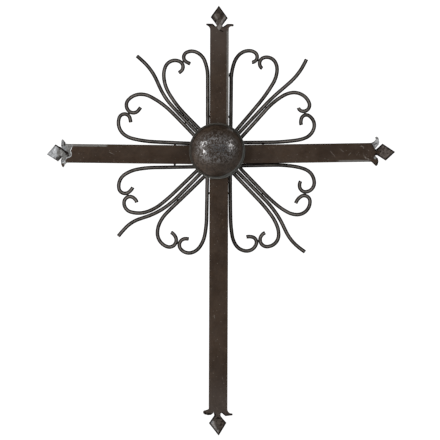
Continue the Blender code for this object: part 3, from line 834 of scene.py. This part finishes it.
def carve(item, tools, operation="DIFFERENCE"):
    """Takes the tools away from an object, or keeps only what lies inside them."""
    for tool in tools:
        step = item.modifiers.new(tool.name, "BOOLEAN")
        step.operation = operation
        step.solver = "EXACT"
        step.object = tool
    bm = bake_down(item)
    for tool in tools:
        bpy.data.objects.remove(tool)
    return bm


def core(low, end):
    """The hollow of a bar, from low to past its mouth."""
    inner = BAR_W / 2 - BAR_WALL
    left, right = (horn["start"] * MM for horn in HORNS[end])
    wide, mouth = inner + 3.5 * MM, MOUTHS[end]
    points = [(-inner, low), (inner, low), (inner, mouth - right), (wide, mouth + 12 * MM),
              (-wide, mouth + 12 * MM), (-inner, mouth - left)]
    return to_object(block(points, -BAR_D + BAR_WALL, -BAR_WALL, unit=1), end + "_hollow")


def round_long_edges(bm):
    """Marks the tube's long edges to be rounded most, its notch less and the horns least."""
    weight = bm.edges.layers.float.new("bevel_weight_edge")
    for e in bm.edges:
        a, b = (v.co for v in e.verts)
        if abs(a.y - b.y) > 10 * HAIR:
            continue
        on_bar = max(abs(a.x), abs(b.x)) - BAR_W / 2 < HAIR
        long_side = abs(a.x - b.x) < HAIR and abs(abs(a.x) - BAR_W / 2) < HAIR
        e[weight] = (1.0 if long_side else 0.3) if on_bar else 0.2


def tube(name, low, ends, cutters):
    """A finished bar in its own drawing: outlines, pushed back, rounded and carved."""
    bm = bmesh.new()
    cores = []
    for end in ends:
        half = bmesh.new()
        bar_outline(half, low, end)
        cores.append(core(low - 1 * MM, end))
        if end == "bottom":
            turn(half, pi, "Y")
            cores[-1].data.transform(Matrix.Rotation(pi, 4, "Y"))
        mesh = bpy.data.meshes.new("half")
        half.to_mesh(mesh)
        half.free()
        bm.from_mesh(mesh)
        bpy.data.meshes.remove(mesh)
    if len(ends) == 1:
        bmesh.ops.contextual_create(bm, geom=[v for v in bm.verts if abs(v.co.z - low) < HAIR])
    push_back(bm, -BAR_D, 0.0)
    round_long_edges(bm)
    item = to_object(bm, name + "_blank")
    soft = item.modifiers.new("rounding", "BEVEL")
    soft.limit_method = "WEIGHT"
    soft.width = EDGE_ROUND
    soft.segments = 4
    hand_over(carve(item, cores + cutters), name + "_bar", BAR_BROWN, [name], sharp=35, bar=name)


# %% The upright
NAIL_R = 3.5 * MM
NAIL_AT = MOUTHS["top"] - 36.9 * MM
nail_hole = bmesh.new()
bmesh.ops.create_cone(nail_hole, cap_ends=True, segments=32, radius1=NAIL_R, radius2=NAIL_R, depth=8 * MM,
                      matrix=Matrix.Translation((0, 0, NAIL_AT)) @ Matrix.Rotation(pi / 2, 4, "X"))
tube("upright", 0.0, ("top", "bottom"), [to_object(nail_hole, "nail_hole")])

# %% [markdown]
# ### The arms
# The arms butt against the upright and are drawn the same way. The left end is the battered one:
# its front wall is torn back in three scallops, and the steel behind it is bare. At the right
# end the front wall is cut away slantwise over the upper horn, so the inside of the horn shows.
# Both are straight-sided cutters, points as (across, along) in mm, that reach just through the
# front wall.

# %% The two arms
ARM_START = BAR_W / 2 + 0.1 * MM
CUT_DEPTH = BAR_WALL + 0.4 * MM
TEAR = [(-14, 212.5), (-12, 209.2), (-9.2, 207.5), (-6.8, 206.3), (-5.6, 202.6), (-3.6, 200.4), (-1.7, 199.5),
        (1, 200.4), (3.6, 201.1), (6.5, 200), (9.9, 198.9), (12.4, 199.2)]
FRONT_CUTS = {
    "left": [(-16.5, 221), *TEAR, (14.2, 199.3), (14.2, 206), (21, 206), (21, 221)],
    "right": [(-3.4, 221), (-3.7, 211.6), (-8.2, 209.4), (-12.3, 207.2), (-14.6, 209.8), (-19.4, 213.4), (-19.4, 221)],
}
for end, points in FRONT_CUTS.items():
    cutter = to_object(block(points, -BAR_D - 1 * MM, -BAR_D + CUT_DEPTH), end + "_front_cut")
    tube(end + "_arm", ARM_START, (end,), [cutter])

# %% [markdown]
# ## Hammered tips
# Each tip is a plate beaten out to a diamond, with a stem that goes into the bar's mouth. A grid
# turned by 45 degrees is already a diamond with a fine mesh. Its upper and lower halves are
# scaled to their own lengths, the lower corner is cut off at the neck, and the cut edge is drawn
# out into the stem. The hammer's work comes next: a low crown in the middle and shallow dents.
# Only then does the sheet get its thickness, and its rim a worn edge. How near each point lies
# to the rim is kept as a number, and the finish reads it for a dark line of painted shade along the rim.

# %% The four tips
PLATE_T = 3.0 * MM
PLATE_RIDGE = 0.9 * MM
STEM_HALF = 4.0 * MM
STEM_IN = 13.0 * MM
STEM_STEPS = 6
NECK_RUN = 10.3 * MM
GRID = 36
RIM_LINE = 3.6 * MM
WORN_EDGE = {"offset_type": "OFFSET", "segments": 2, "profile": 0.5, "affect": "EDGES", "clamp_overlap": True,
             "material": -1}


def dents(place, size, seed):
    """Height of a beaten surface, -1 to 1: soft cells that meet in low ridges."""
    near = noise.voronoi((place + Vector((seed, 0, seed))) / size, distance_metric="DISTANCE")[0]
    return 1 - 2 * min(1.0, near[0] / 0.7)


def diamond(half_w, nose, slant, seed):
    """A beaten diamond on a stem, its widest line at Z = 0 and its front towards -Y."""
    bm = bmesh.new()
    bmesh.ops.create_grid(bm, x_segments=GRID, y_segments=GRID, size=1 / sqrt(2))
    turn(bm, pi / 4, "Z")
    turn(bm, pi / 2, "X")
    tail = half_w * NECK_RUN / (half_w - STEM_HALF)
    upper = [v for v in bm.verts if v.co.z > 0]
    lower = [v for v in bm.verts if v.co.z <= 0]
    stretch(bm, (half_w, 1, nose), upper)
    stretch(bm, (half_w, 1, tail), lower)
    bmesh.ops.bisect_plane(bm, geom=bm.verts[:] + bm.edges[:] + bm.faces[:], plane_co=(0, 0, -NECK_RUN),
                           plane_no=(0, 0, -1), clear_outer=True)
    bmesh.ops.remove_doubles(bm, verts=bm.verts, dist=0.15 * MM)
    cut = [e for e in bm.edges if all(abs(v.co.z + NECK_RUN) < HAIR for v in e.verts)]
    ring = cut + list(dict.fromkeys(v for e in cut for v in e.verts))
    for _ in range(STEM_STEPS):
        ring = straight_on(bm, ring, (0, 0, -STEM_IN / STEM_STEPS))
    for v in bm.verts:
        run = nose if v.co.z > 0 else tail
        height = max(0.0, 1 - abs(v.co.x) / half_w - abs(v.co.z) / run) if v.co.z > -NECK_RUN else 0.0
        beaten = 0.22 * MM * dents(v.co, 5.2 * MM, seed) + 0.10 * MM * noise.noise(v.co / (2.0 * MM))
        v.co.y -= PLATE_RIDGE * height + beaten
        v.co.z -= slant * v.co.x / half_w
    face_out(bm)
    bmesh.ops.solidify(bm, geom=bm.faces[:], thickness=PLATE_T)
    face_out(bm)
    shift(bm, (0, -(sum(v.co.y for v in bm.verts) / len(bm.verts)) - 0.1 * MM, 0))
    rim = []
    for e in bm.edges:
        facing = [abs(face.normal.y) for face in e.link_faces]
        if len(facing) == 2 and max(facing) > 0.6 and min(facing) < 0.3:
            rim.append(e)
    bmesh.ops.bevel(bm, geom=rim, offset=0.55 * MM, **WORN_EDGE)
    line = bm.verts.layers.float.new("rim")
    for v in bm.verts:
        along = v.co.z + slant * v.co.x / half_w
        run = nose if along > 0 else tail
        inside = (1 - abs(v.co.x) / half_w - abs(along) / run) * half_w * run / sqrt(half_w ** 2 + run ** 2)
        v[line] = max(0.0, min(1.0, 1 - inside / RIM_LINE)) if along > -NECK_RUN else 0.0
    return bm


# Each tip: its bar, half width, mouth to widest line, that line to the point, slant, all in mm,
# bend back at the neck and swing in degrees, and shift in mm.
TIPS = {
    "top": ("upright", 11.7, 9.3, 16.4, 1.1, 0, -2, 0),
    "bottom": ("upright", 12, 11.9, 17.4, 0.7, 0, -4.7, 1.3),
    "left": ("left_arm", 11.7, 7.3, 14.4, 0, -15, -9, 1.9),
    "right": ("right_arm", 11.7, 8.4, 15.1, -2, 0, 0, 0),
}
SEAT = -BAR_D + BAR_WALL + 0.3 * MM + PLATE_T / 2
NECK = Vector((0, 0, -NECK_RUN))
for number, (end, (bar, half_w, reach, nose, slant, bend, swing, across)) in enumerate(TIPS.items()):
    bm = diamond(half_w * MM, nose * MM, slant * MM, 5.0 + number)
    turn(bm, radians(bend), "X", [v for v in bm.verts if v.co.z > -NECK_RUN], about=NECK)
    turn(bm, radians(swing), "Y", about=NECK)
    shift(bm, (across * MM, SEAT, MOUTHS[end] + reach * MM))
    if end == "bottom":
        turn(bm, pi, "Y")
    name = end + "_tip"
    hand_over(bm, name + "_plate", TIP_FINISHES[name], [name], sharp=50, bar=bar)

# %% [markdown]
# ### The roots of the side tips
# At the torn left end and the bared right horn, one looks past the front wall at the tip's root:
# a sheet beaten flat to fill the mouth. It has the outline of the bar's end, a touch smaller, so
# the same walk draws it. Its face is a fine grid, dented like the tips and pushed back into a
# block, and a Boolean keeps what lies inside the outline. A hammered fold runs across the left
# one as a thin dark slit.

# %% Roots at the left and the right
ROOT_FRONT = -BAR_D + BAR_WALL + 0.05 * MM
ROOT_T = 3 * MM
ROOT_CELL = 0.8 * MM
ROOT_HALF = 20 * MM


def beaten_root(end, low, seed, material, cutters=()):
    """A dented sheet in the outline of a bar's end, from low to its mouth."""
    sheet = bmesh.new()
    high = MOUTHS[end] + 4 * MM
    bmesh.ops.create_grid(sheet, x_segments=round(2 * ROOT_HALF / ROOT_CELL),
                          y_segments=round((high - low) / ROOT_CELL), size=0.5)
    turn(sheet, pi / 2, "X")
    stretch(sheet, (2 * ROOT_HALF, 1, high - low))
    shift(sheet, (0, ROOT_FRONT, (low + high) / 2))
    for v in sheet.verts:
        v.co.y += 0.20 * MM * dents(v.co, 4.6 * MM, seed) + 0.10 * MM * noise.noise(v.co / (1.8 * MM))
    for v in only(VERT, bmesh.ops.extrude_face_region(sheet, geom=sheet.faces[:])["geom"]):
        v.co.y = ROOT_FRONT + ROOT_T
    face_out(sheet)
    item = to_object(sheet, end + "_root")
    shape = bmesh.new()
    foot = low + 0.3 * MM
    bar_outline(shape, foot, end, tongues=False)
    bmesh.ops.contextual_create(shape, geom=[v for v in shape.verts if abs(v.co.z - foot) < HAIR])
    push_back(shape, ROOT_FRONT - 2 * MM, ROOT_FRONT + ROOT_T - 0.4 * MM)
    stretch(shape, (0.93, 1, 1))
    root = carve(item, [to_object(shape, end + "_root_shape")], "INTERSECT")
    root = carve(to_object(root, end + "_root_cut"), list(cutters))
    hand_over(root, end + "_tip_root", material, sharp=40, bar=end + "_arm")


slit = block([(12.4, 223), (11.4, 223.6), (-1.2, 204.6), (-0.2, 203.6)], ROOT_FRONT - 2 * MM, ROOT_FRONT + 1.6 * MM)
beaten_root("left", 196 * MM, 21.0, TIP_FINISHES["left_tip"], [to_object(slit, "slit")])
beaten_root("right", 203 * MM, 27.0, HORN_STEEL)

# %% [markdown]
# The tear in the left end's front wall has a burr along it, a bright thin lip of drawn-out metal.
# A curve follows the tear, and its own round section gives the lip its body.

# %% The torn lip
LIP_SEED = 1             # the noise vector starts from the clock unless it is given a seed
noise.seed_set(LIP_SEED)
lip_line = bpy.data.curves.new("lip", "CURVE")
lip_line.dimensions = "3D"
lip_line.bevel_depth = 0.85 * MM
lip_line.bevel_resolution = 2
lip_line.use_fill_caps = True
tear = lip_line.splines.new("POLY")
tear.points.add(len(TEAR) - 1)
for point, (across, along) in zip(tear.points, TEAR):
    place = Vector((across, -BAR_D / MM + 0.5, along)) * MM
    place += 0.5 * MM * noise.noise_vector(place / (3 * MM))
    point.co = (*place, 1)
    point.radius = 0.8 + 0.5 * noise.noise(place / (2 * MM))
hand_over(bake_down(add_object("lip", lip_line)), "left_torn_lip", LIP_STEEL, bar="left_arm")

# %% [markdown]
# ### The top tip's stem
# At the top the stem lies on the bar's face instead of in its mouth. It was beaten down there
# until it all but merges with the face, and ends in an arrow. It is drawn as an outline with the
# vertex walk, pushed back, and its front edges are bevelled away.

# %% The beaten-down stem
bm = block([(-4.3, 180.5), (-3.9, 176), (-3.4, 172.6), (-0.6, 168.7), (2.2, 171.6), (4.4, 176), (6.4, 180.5),
            (4.2, 183.5), (-2.6, 183.5)], -BAR_D - 0.45 * MM, -BAR_D + 1.9 * MM)
front_edges = [e for e in bm.edges if all(v.co.y < -BAR_D for v in e.verts)]
bmesh.ops.bevel(bm, geom=front_edges, offset=0.4 * MM, **WORN_EDGE)
hand_over(bm, "top_stem_weld", TIP_FINISHES["top_tip"], sharp=40, bar="upright")

# %% [markdown]
# ## Welds
# Wherever two pieces touch they are joined by a bead of weld. Tacks hold each rod to the next
# and to its bar, most of them low between the rods, where they hardly show. On the back, a seam
# of overlapping beads joins each arm to the upright, in the groove between their rounded edges.
# A black blob sits between the upright and a rod, and two brighter ones by the dome's rim.

# %% Tacks and seams
TACK_GAP = BAR_W / 2 + 0.8 * MM
tacks = bmesh.new()
for number, quadrant in enumerate(("upper_left", "upper_right", "lower_left", "lower_right")):
    side = 1 if "right" in quadrant else -1
    up = 1 if "upper" in quadrant else -1
    arm = "right_arm" if side > 0 else "left_arm"
    ray = rod_paths["ray_" + quadrant][0]
    for kind, spot in (
        ("tall", lie("upright") @ Vector((side * TACK_GAP, -2.0 * MM, up * 52 * MM))),
        ("wide", lie(arm) @ Vector((-side * up * TACK_GAP, -2.0 * MM, 60 * MM))),
    ):
        leg = rod_paths["heart_" + quadrant + "_" + kind][1]
        place, _ = closest(ray[3:len(ray) // 2], leg[3:len(leg) // 2])
        bead(tacks, place + Vector((0, 0.4 * MM, 0)), (1.3, 1.5, 1.3), number)
        bead(tacks, spot, (1.5, 1.5, 1.5), 3 + number)
for side in (-1, 1):
    for k in range(-6, 7):
        bead(tacks, Vector((side * BAR_W / 2, -1.25 * MM, 1.6 * k * MM)), (1.3, 1.05, 1.1), k)
hand_over(tacks, "tack_welds", ROD_BROWN)

spots = bmesh.new()
bead(spots, Vector((24.7, -4.4, 34.5)) * MM, (1.5, 1.2, 1.5), 5)
bead(spots, Vector((26.5, -4.4, -23.2)) * MM, (1.4, 1.2, 1.5), 7)
hand_over(spots, "rim_welds", WELD_BROWN)

blob = bmesh.new()
bead(blob, Vector((14.3, -5.6, 108.2)) * MM, (1.0, 2.4, 3.3), 9)
hand_over(blob, "black_weld", WELD_BLACK)

# %% [markdown]
# ## The dome
# The boss is a disc pressed into a dome, with a narrow flat lip left round it. A dome is the
# plainest use of spin there is: draw half its section, outside and inside, and spin it round its
# axis. The section itself is traced by spinning one vertex. The press sat a millimetre off the
# disc's centre, so the lip shows wider at the lower right. The pits are real relief, two
# millimetres across and a tenth deep, because they break up the highlights.

# %% The dome's half section
BOSS_AT = Vector((-2.7 * MM, -BAR_D - 0.3 * MM, 5.3 * MM))
BOSS_R = 38.1 * MM
BOSS_H = 28.0 * MM
BOSS_WALL = 1.6 * MM
BOSS_LIP = 1.6 * MM


def cap_radius(base, height):
    """The radius of the ball whose cap has this base radius and height."""
    return (base ** 2 + height ** 2) / (2 * height)


bm = bmesh.new()
base = BOSS_R - BOSS_LIP
outer = cap_radius(base, BOSS_H)
inner_h = BOSS_H - BOSS_WALL
inner_base = base - BOSS_WALL
inner = cap_radius(inner_base, inner_h)
inner_sweep = atan2(inner_base, inner - inner_h)
here = bmesh.ops.spin(bm, geom=[bm.verts.new((0, -BOSS_H, 0))], cent=(0, outer - BOSS_H, 0), axis=(0, 0, 1),
                      angle=atan2(base, outer - BOSS_H) * 0.985, steps=84, **NO_STEP)["geom_last"]
here = only(VERT, here)
for x, y in ((base + 0.5 * MM, -BOSS_WALL), (BOSS_R - 0.5 * MM, -BOSS_WALL - 0.15 * MM),
             (BOSS_R, -BOSS_WALL + 0.4 * MM), (BOSS_R, -0.4 * MM), (BOSS_R - 0.4 * MM, 0.0),
             (inner * sin(inner_sweep), 0.0)):
    here = straight_on(bm, here, Vector((x, y, 0)) - here[0].co)
bmesh.ops.spin(bm, geom=here, cent=(0, inner - inner_h, 0), axis=(0, 0, 1), angle=-inner_sweep, steps=24, **NO_STEP)
print("section of", len(bm.verts), "points")

# %% The dome over the crossing
PRESS_OFF = Vector((-0.7 * MM, 0, 0.8 * MM))
PIT = 2.3 * MM
PIT_DEEP = 0.10 * MM
SWELL = 0.25 * MM
SINK = 0.2 * MM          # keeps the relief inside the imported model's box
bmesh.ops.spin(bm, geom=bm.verts[:] + bm.edges[:], cent=(0, 0, 0), axis=(0, 1, 0), angle=2 * pi, steps=240,
               use_merge=True, **NO_STEP)
bmesh.ops.remove_doubles(bm, verts=bm.verts, dist=HAIR)
face_out(bm)
bm.normal_update()
moves = []
for v in bm.verts:
    away = sqrt(v.co.x ** 2 + v.co.z ** 2)
    if v.normal.y < 0 and away < base - 0.3 * MM and v.co.y < -BOSS_WALL:
        rim = min(1.0, (base - away) / (3 * MM))
        pits = noise.noise(v.co / PIT) + 0.6 * noise.noise(v.co / (0.55 * PIT) + Vector((9, 3, 1)))
        slow = noise.noise(v.co / (14 * MM) + Vector((2, 8, 5)))
        relief = v.normal * rim * (PIT_DEEP * pits + SWELL * slow - SINK)
        moves.append((v, relief + PRESS_OFF * min(1.0, -v.co.y / (6 * MM))))
for v, step in moves:
    v.co += step
shift(bm, BOSS_AT)
hand_over(bm, "boss_dome", DOME_BROWN, ["boss"], sharp=60)

# %% [markdown]
# ## Stage, light and camera
# The cross hangs above a plain pale floor, in front of a pale screen seven metres behind it that
# glows white, as in the photograph's cut-out ground. The photograph was taken square on with a
# long lens, so the camera stands four metres off.

# %% Stage
def plain_sheet(name, low, high, colour):
    """A flat pale sheet between two corners, for the floor and the screen."""
    bm = bmesh.new()
    bmesh.ops.create_grid(bm, x_segments=1, y_segments=1, size=0.5)
    span = Vector(high) - Vector(low)
    if abs(span.z) > abs(span.y):
        turn(bm, pi / 2, "X")
    stretch(bm, [max(abs(s), 0.001) for s in span])
    shift(bm, (Vector(high) + Vector(low)) / 2)
    sheet = to_object(bm, name)
    paint = bpy.data.materials.new(name + "_paint")
    paint.use_nodes = True
    shader = paint.node_tree.nodes["Principled BSDF"].inputs
    shader["Base Color"].default_value = colour
    shader["Roughness"].default_value = 0.9
    sheet.data.materials.append(paint)
    return sheet, shader


plain_sheet("pale_floor", (-4, -4, -0.62), (4, 2.9, -0.62), (0.85, 0.85, 0.85, 1))
screen, glow = plain_sheet("pale_screen", (-1.6, 7, -1.6), (1.6, 7, 1.4), (0.9, 0.9, 0.9, 1))
glow["Emission Color"].default_value = (1, 1, 1, 1)
glow["Emission Strength"].default_value = 1.0
screen.visible_glossy = False
screen.visible_diffuse = False

# %% Lights
SOFT_BOXES = {           # place, the height it aims at, width, height, all in metres, and watts
    "left_window": ((-1.45, -0.88, 0.25), -0.05, 0.62, 1.5, 36),
    "right_window": ((1.5, -0.62, 0.55), -0.05, 0.4, 0.9, 13),
    "front_fill": ((0.1, -3.4, 3.0), -0.1, 4.0, 2.6, 58),
    "back_fill": ((0.9, 3.4, 1.9), -0.1, 1.6, 1.6, 40),
}
for name, (place, aim, width, height, power) in SOFT_BOXES.items():
    light = bpy.data.lights.new(name, "AREA")
    light.shape = "RECTANGLE"
    light.size = width
    light.size_y = height
    light.energy = power
    lamp = add_object(name, light)
    lamp.location = place
    lamp.rotation_euler = (Vector((0, 0, aim)) - Vector(place)).to_track_quat("-Z", "Y").to_euler()

ROOM_DIM = 0.03          # the world's light on the cross, and what the camera sees of it
ROOM_SEEN = 0.9
world = bpy.data.worlds.new("studio")
world.use_nodes = True
around = world.node_tree
backdrop = around.nodes["Background"].inputs
backdrop["Color"].default_value = (1, 1, 1, 1)
ray = around.nodes.new("ShaderNodeLightPath")
strength = around.nodes.new("ShaderNodeMapRange")
strength.inputs["To Min"].default_value = ROOM_DIM
strength.inputs["To Max"].default_value = ROOM_SEEN
around.links.new(ray.outputs["Is Camera Ray"], strength.inputs["Value"])
around.links.new(strength.outputs["Result"], backdrop["Strength"])
bpy.context.scene.world = world
bpy.context.scene.view_settings.view_transform = "Standard"

# %% Camera
PIXEL = 1.358 * MM       # on the cross's face
PIXELS = 440
SENSOR = 36.0
CAMERA_OFF = 4.0
lens = bpy.data.cameras.new("long_lens")
camera = add_object("camera", lens)
camera.location = (1.36 * MM, -CAMERA_OFF, -88.4 * MM)
camera.rotation_euler = (pi / 2, 0, 0)
lens.sensor_width = SENSOR
lens.lens = SENSOR * (CAMERA_OFF - BAR_D / 2) / (PIXELS * PIXEL)
lens.clip_end = 50
bpy.context.scene.camera = camera
print("lens", round(lens.lens, 1), "mm")
